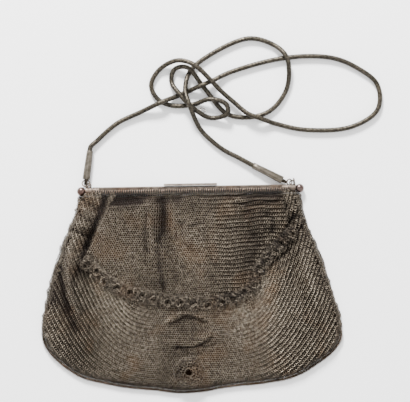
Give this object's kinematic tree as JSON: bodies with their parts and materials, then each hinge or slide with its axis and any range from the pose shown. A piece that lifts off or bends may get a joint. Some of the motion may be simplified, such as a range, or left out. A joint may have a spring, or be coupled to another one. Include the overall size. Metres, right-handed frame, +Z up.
{
  "type": "metal mesh purse",
  "caption": "Antique ring-mesh handbag lying on its back: hinged two-rail frame, hollow mesh pocket, lace-edged mesh flap, rosette and a long loose mesh-cord strap",
  "frame": {"origin": "on the surface the purse lies on, at the middle of the purse without its strap", "axes": "+X along the frame to the viewer's right, +Y from the hem towards the frame and strap, +Z up from the surface through the front"},
  "size_m": [0.2305, 0.2381, 0.0155],
  "materials": {
    "ring_mesh": "aged ring mesh, brown-grey patina with rusty and greenish patches",
    "flap_mesh": "aged ring mesh, slightly cooler grey-brown",
    "frame_metal": "worn plated frame metal, warm grey, coppery where worn",
    "clasp_metal": "light grey satin metal",
    "ball_metal": "polished, darkened ball finial",
    "strap_mesh": "dark olive-brown woven metal cord"
  },
  "bodies": {
    "root": {"mesh_body": "ring_mesh", "hem_seam": "ring_mesh", "mesh_flap": "flap_mesh", "lace_border": "flap_mesh", "rosette": "flap_mesh", "rail_front": "frame_metal", "rail_back": "frame_metal", "clasp_bar": "clasp_metal", "hinge_pin_left": "ball_metal", "hinge_pin_right": "ball_metal", "jump_ring_left": "frame_metal", "jump_ring_right": "frame_metal", "end_cap_left": "frame_metal", "end_cap_right": "frame_metal", "strap_cord": "strap_mesh"}
  },
  "joints": []
}
